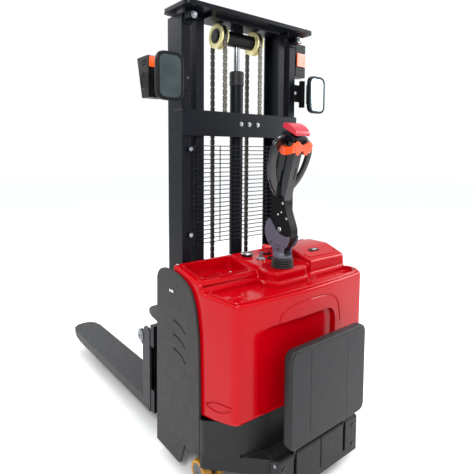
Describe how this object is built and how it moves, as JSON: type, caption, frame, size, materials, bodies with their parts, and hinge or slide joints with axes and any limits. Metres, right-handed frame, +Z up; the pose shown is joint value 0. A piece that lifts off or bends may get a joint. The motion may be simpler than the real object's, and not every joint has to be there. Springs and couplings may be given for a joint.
{
  "type": "walkie stacker",
  "caption": "Electric walkie stacker: a red hood with a tiller and folding platform, a lifting mast with a wire guard, mirrors, and adjustable forks over straddle legs.",
  "frame": {"origin": "on the floor, under the middle of the bounding box", "axes": "+X is the operator's right, +Y points along the forks and +Z is up"},
  "size_m": [1.046, 2.045, 2.06],
  "materials": {
    "mast_black": "semi-gloss black paint",
    "frame_grey": "satin dark grey paint",
    "dark_grey": "satin black-grey paint",
    "hood_red": "glossy red moulded cover",
    "black_plastic": "black moulded plastic",
    "yoke_grey": "painted die-cast alloy",
    "steel": "bright zinc-plated or machined steel",
    "chrome": "hard-chromed and ground",
    "zinc": "yellow-passivated zinc plate",
    "signal_orange": "orange moulded plastic",
    "button_red": "red moulded plastic",
    "tyre": "black solid rubber tread",
    "amber_tyre": "amber polyurethane tread",
    "mirror_glass": "silvered mirror in a black rim",
    "mat_rubber": "dark grey rubber-covered plate"
  },
  "bodies": {
    "chassis": {"base_frame": "frame_grey", "rear_bumper": "dark_grey", "hood_cover": "hood_red", "battery": "black_plastic", "hydraulic_power_unit": "dark_grey", "motor_controller": "black_plastic", "left_support_leg": "mast_black", "right_support_leg": "mast_black", "left_side_panel": "frame_grey", "right_side_panel": "frame_grey", "battery_gauge": "black_plastic", "left_mast_channel": "mast_black", "right_mast_channel": "mast_black", "mast_crossbeam": "mast_black", "wire_guard": "mast_black", "cylinder_tube": "mast_black", "cylinder_gland": "dark_grey", "left_rear_chain": "steel", "right_rear_chain": "steel", "platform_mount": "dark_grey", "platform_hinge_pin": "steel", "left_signal_box": "black_plastic", "right_signal_box": "black_plastic", "left_signal_lens": "signal_orange", "right_signal_lens": "signal_orange", "left_mirror_bracket": "black_plastic", "right_mirror_bracket": "black_plastic"},
    "inner_mast": {"inner_left_channel": "mast_black", "inner_right_channel": "mast_black", "mast_top_plate": "mast_black", "lift_crosshead": "mast_black", "piston_rod": "chrome", "left_front_chain": "steel", "right_front_chain": "steel"},
    "carriage": {"carriage_frame": "mast_black", "fork_shaft": "steel"},
    "left_fork_body": {"left_fork": "frame_grey"},
    "right_fork_body": {"right_fork": "frame_grey"},
    "left_pulley_body": {"left_chain_pulley": "zinc"},
    "right_pulley_body": {"right_chain_pulley": "zinc"},
    "tiller_base": {"tiller_neck": "steel", "tiller_bellows": "black_plastic", "tiller_yoke": "yoke_grey"},
    "tiller_lever": {"tiller_arm": "black_plastic", "tiller_head": "black_plastic"},
    "throttle": {"throttle_butterfly": "signal_orange"},
    "belly_switch": {"belly_button": "button_red"},
    "drive": {"drive_unit": "dark_grey"},
    "drive_tyre": {"drive_wheel": "tyre"},
    "left_castor": {"left_castor_fork": "dark_grey"},
    "right_castor": {"right_castor_fork": "dark_grey"},
    "left_castor_roller": {"left_castor_wheel": "amber_tyre"},
    "right_castor_roller": {"right_castor_wheel": "amber_tyre"},
    "left_load_wheel": {"left_load_roller": "amber_tyre"},
    "right_load_wheel": {"right_load_roller": "amber_tyre"},
    "platform": {"platform_deck": "mat_rubber"},
    "left_mirror_body": {"left_mirror": "mirror_glass"},
    "right_mirror_body": {"right_mirror": "mirror_glass"},
    "key_switch": {"ignition_key": "steel"},
    "stop_switch": {"emergency_stop": "button_red"}
  },
  "joints": [
    {"name": "inner_mast_lift", "type": "slide", "parent": "chassis", "child": "inner_mast", "axis": [0, 0, 1], "range_m": [0, 1.42], "deforming": ["left_rear_chain", "right_rear_chain"]},
    {"name": "carriage_lift", "type": "slide", "parent": "inner_mast", "child": "carriage", "axis": [0, 0, 1], "range_m": [0, 1.42], "deforming": ["left_front_chain", "right_front_chain"]},
    {"name": "left_pulley_spin", "type": "hinge", "parent": "inner_mast", "child": "left_pulley_body", "pos_m": [-0.112, -0.3985, 1.98], "axis": [1, 0, 0], "range_deg": [-5, 1632]},
    {"name": "right_pulley_spin", "type": "hinge", "parent": "inner_mast", "child": "right_pulley_body", "pos_m": [0.112, -0.3985, 1.98], "axis": [1, 0, 0], "range_deg": [-5, 1632]},
    {"name": "left_fork_shift", "type": "slide", "parent": "carriage", "child": "left_fork_body", "axis": [1, 0, 0], "range_m": [0, 0.06]},
    {"name": "right_fork_shift", "type": "slide", "parent": "carriage", "child": "right_fork_body", "axis": [-1, 0, 0], "range_m": [0, 0.06]},
    {"name": "tiller_steer", "type": "hinge", "parent": "chassis", "child": "tiller_base", "pos_m": [0, -0.7345, 1], "axis": [0, 0, 1], "range_deg": [-90, 90]},
    {"name": "tiller_tilt", "type": "hinge", "parent": "tiller_base", "child": "tiller_lever", "pos_m": [0, -0.7345, 1.018], "axis": [1, 0, 0], "range_deg": [0, 70], "stiffness_Nm_per_rad": 6, "springref_deg": -68.75},
    {"name": "throttle_turn", "type": "hinge", "parent": "tiller_lever", "child": "throttle", "pos_m": [0, -0.78444, 1.4613], "axis": [1, 0, 0], "range_deg": [-12, 12], "stiffness_Nm_per_rad": 0.4},
    {"name": "belly_button_press", "type": "slide", "parent": "tiller_lever", "child": "belly_switch", "axis": [0, 0.2656, -0.9641], "range_m": [0, 0.008], "stiffness_N_per_m": 600, "springref_m": -0.003},
    {"name": "drive_steer", "type": "hinge", "parent": "chassis", "child": "drive", "pos_m": [0, -0.7345, 0.16], "axis": [0, 0, 1], "range_deg": [-90, 90]},
    {"name": "drive_wheel_spin", "type": "hinge", "parent": "drive", "child": "drive_tyre", "pos_m": [0, -0.7345, 0.115], "axis": [1, 0, 0], "continuous": true},
    {"name": "left_castor_swivel", "type": "hinge", "parent": "chassis", "child": "left_castor", "pos_m": [-0.335, -0.5985, 0.15], "axis": [0, 0, 1], "continuous": true},
    {"name": "left_castor_spin", "type": "hinge", "parent": "left_castor", "child": "left_castor_roller", "pos_m": [-0.335, -0.6285, 0.05], "axis": [1, 0, 0], "continuous": true},
    {"name": "right_castor_swivel", "type": "hinge", "parent": "chassis", "child": "right_castor", "pos_m": [0.335, -0.5985, 0.15], "axis": [0, 0, 1], "continuous": true},
    {"name": "right_castor_spin", "type": "hinge", "parent": "right_castor", "child": "right_castor_roller", "pos_m": [0.335, -0.6285, 0.05], "axis": [1, 0, 0], "continuous": true},
    {"name": "left_load_roller_spin", "type": "hinge", "parent": "chassis", "child": "left_load_wheel", "pos_m": [-0.22, 0.6915, 0.04], "axis": [1, 0, 0], "continuous": true},
    {"name": "right_load_roller_spin", "type": "hinge", "parent": "chassis", "child": "right_load_wheel", "pos_m": [0.22, 0.6915, 0.04], "axis": [1, 0, 0], "continuous": true},
    {"name": "platform_fold", "type": "hinge", "parent": "chassis", "child": "platform", "pos_m": [0, -0.9545, 0.205], "axis": [1, 0, 0], "range_deg": [0, 88], "stiffness_Nm_per_rad": 30, "springref_deg": -28.65},
    {"name": "left_mirror_turn", "type": "hinge", "parent": "chassis", "child": "left_mirror_body", "pos_m": [-0.408, -0.5025, 1.74], "axis": [0, 0, 1], "range_deg": [-25, 25]},
    {"name": "right_mirror_turn", "type": "hinge", "parent": "chassis", "child": "right_mirror_body", "pos_m": [0.408, -0.5025, 1.74], "axis": [0, 0, 1], "range_deg": [-25, 25]},
    {"name": "key_turn", "type": "hinge", "parent": "chassis", "child": "key_switch", "pos_m": [-0.003, -0.5945, 0.93], "axis": [0, 0, 1], "range_deg": [0, 90]},
    {"name": "emergency_stop_press", "type": "slide", "parent": "chassis", "child": "stop_switch", "axis": [0, 0, -1], "range_m": [0, 0.006]}
  ],
  "couplings": [
    {"joint": "carriage_lift", "follows": "inner_mast_lift", "ratio": 1},
    {"joint": "left_pulley_spin", "follows": "inner_mast_lift", "rad_per_m": 20},
    {"joint": "right_pulley_spin", "follows": "inner_mast_lift", "rad_per_m": 20},
    {"joint": "drive_steer", "follows": "tiller_steer", "ratio": 1}
  ]
}
